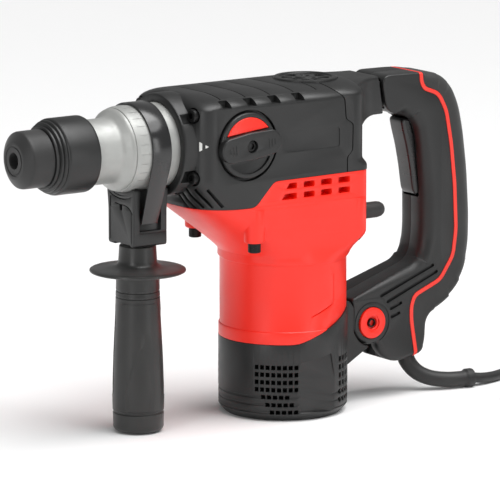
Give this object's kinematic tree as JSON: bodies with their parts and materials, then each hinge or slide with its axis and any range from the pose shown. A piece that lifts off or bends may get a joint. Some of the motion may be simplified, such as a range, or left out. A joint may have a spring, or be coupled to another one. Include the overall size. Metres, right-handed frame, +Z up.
{
  "type": "rotary hammer",
  "caption": "Corded rotary hammer with a vertical motor, sprung sleeve chuck, strap-clamped side handle and a damped loop handle with trigger at the rear.",
  "frame": {"origin": "centre of the flat bottom of the motor end cap, on the motor axis", "axes": "+Z up along the motor axis, chuck towards -X, rear handle towards +X, mode selector on the -Y side"},
  "size_m": [0.5723, 0.15, 0.2504],
  "materials": {
    "black_plastic": "satin moulded texture",
    "red_plastic": "satin gloss",
    "black_rubber": "matte soft grip",
    "cast_alloy": "bead-blasted casting",
    "steel": "ground",
    "black_steel": "black oxide",
    "copper": "turned copper",
    "carbon": "pressed carbon"
  },
  "bodies": {
    "housing": {"gear_housing": "black_plastic", "rear_cover": "black_plastic", "grease_cap": "black_plastic", "nose_casting": "cast_alloy", "motor_housing": "red_plastic", "motor_end_cap": "black_plastic", "nose_screw_1": "black_steel", "nose_screw_2": "black_steel", "nose_screw_3": "black_steel", "nose_screw_4": "black_steel", "housing_bolt_1": "black_steel", "housing_bolt_2": "black_steel", "housing_bolt_3": "black_steel", "housing_bolt_4": "black_steel", "rear_buffer": "black_rubber", "stator": "steel", "lower_motor_bearing": "steel", "upper_motor_bearing": "steel", "carbon_brush_1": "carbon", "carbon_brush_2": "carbon", "spindle_bearing": "steel", "gear_plate": "cast_alloy", "damper_boot": "black_rubber", "damper_spring": "steel"},
    "armature": {"armature_shaft": "steel", "armature_core": "steel", "commutator": "copper", "cooling_fan": "black_plastic"},
    "crank": {"crank_gear": "steel"},
    "layshaft": {"layshaft_gear": "steel"},
    "spindle": {"tool_spindle": "steel", "dust_cap": "black_rubber", "spindle_gear": "steel", "locking_ball_1": "steel", "locking_ball_2": "steel", "chuck_spring": "steel"},
    "sleeve": {"locking_sleeve": "black_plastic"},
    "striker": {"striker": "steel"},
    "impact_bolt": {"impact_bolt": "steel"},
    "piston": {"piston": "cast_alloy"},
    "rod": {"connecting_rod": "cast_alloy"},
    "selector": {"selector_knob": "black_plastic", "selector_screw": "black_steel"},
    "rear_handle": {"handle_left_shell": "black_plastic", "handle_right_shell": "black_plastic", "handle_grip_cover": "black_rubber", "handle_trim": "red_plastic", "pivot_bolt": "steel", "pivot_cap_left": "red_plastic", "pivot_cap_right": "red_plastic", "switch_body": "black_plastic", "cord_sleeve": "black_rubber", "cord": "black_rubber", "cord_coil": "black_rubber", "plug": "black_rubber"},
    "trigger": {"trigger": "black_plastic"},
    "side_clamp": {"clamp_strap": "black_steel", "clamp_block": "black_plastic", "clamp_stud": "steel"},
    "side_grip": {"side_grip": "black_rubber"}
  },
  "joints": [
    {"name": "motor_spin", "type": "hinge", "parent": "housing", "child": "armature", "pos_m": [0, 0, 0.09], "axis": [0, 0, 1], "continuous": true},
    {"name": "crank_spin", "type": "hinge", "parent": "housing", "child": "crank", "pos_m": [0.02, 0, 0.173], "axis": [0, 0, 1], "continuous": true},
    {"name": "layshaft_spin", "type": "hinge", "parent": "housing", "child": "layshaft", "pos_m": [-0.024, 0, 0.1725], "axis": [0, 0, 1], "continuous": true},
    {"name": "spindle_spin", "type": "hinge", "parent": "housing", "child": "spindle", "pos_m": [-0.13, 0, 0.211], "axis": [1, 0, 0], "continuous": true},
    {"name": "sleeve_slide", "type": "slide", "parent": "spindle", "child": "sleeve", "axis": [1, 0, 0], "range_m": [0, 0.008], "stiffness_N_per_m": 900, "springref_m": -0.006, "deforming": ["chuck_spring"]},
    {"name": "striker_slide", "type": "slide", "parent": "spindle", "child": "striker", "axis": [1, 0, 0], "range_m": [-0.009, 0.006]},
    {"name": "impact_bolt_slide", "type": "slide", "parent": "spindle", "child": "impact_bolt", "axis": [1, 0, 0], "range_m": [0, 0.004]},
    {"name": "piston_slide", "type": "slide", "parent": "housing", "child": "piston", "axis": [-1, 0, 0], "range_m": [0, 0.018]},
    {"name": "rod_swing", "type": "hinge", "parent": "piston", "child": "rod", "pos_m": [-0.046, 0, 0.211], "axis": [0, 0, 1], "range_deg": [-6.9, 6.9]},
    {"name": "selector_turn", "type": "hinge", "parent": "housing", "child": "selector", "pos_m": [-0.0638, -0.045, 0.212], "axis": [0, 1, 0], "range_deg": [-90, 90]},
    {"name": "handle_pivot", "type": "hinge", "parent": "housing", "child": "rear_handle", "pos_m": [0.0688, 0, 0.0603], "axis": [0, 1, 0], "range_deg": [-1, 0], "stiffness_Nm_per_rad": 400, "springref_deg": 1.15, "deforming": ["damper_spring", "damper_boot"]},
    {"name": "trigger_pull", "type": "hinge", "parent": "rear_handle", "child": "trigger", "pos_m": [0.118, 0, 0.21], "axis": [0, -1, 0], "range_deg": [0, 7], "stiffness_Nm_per_rad": 1.5, "springref_deg": -6.88},
    {"name": "side_handle_swing", "type": "hinge", "parent": "housing", "child": "side_clamp", "pos_m": [-0.13, 0, 0.211], "axis": [1, 0, 0], "continuous": true},
    {"name": "side_grip_turn", "type": "hinge", "parent": "side_clamp", "child": "side_grip", "pos_m": [-0.13, 0, 0.08], "axis": [0, 0, 1], "range_deg": [0, 720]}
  ],
  "couplings": [
    {"joint": "crank_spin", "follows": "motor_spin", "ratio": -0.29032},
    {"joint": "layshaft_spin", "follows": "motor_spin", "ratio": -0.23077},
    {"joint": "spindle_spin", "follows": "motor_spin", "ratio": 0.076923}
  ]
}
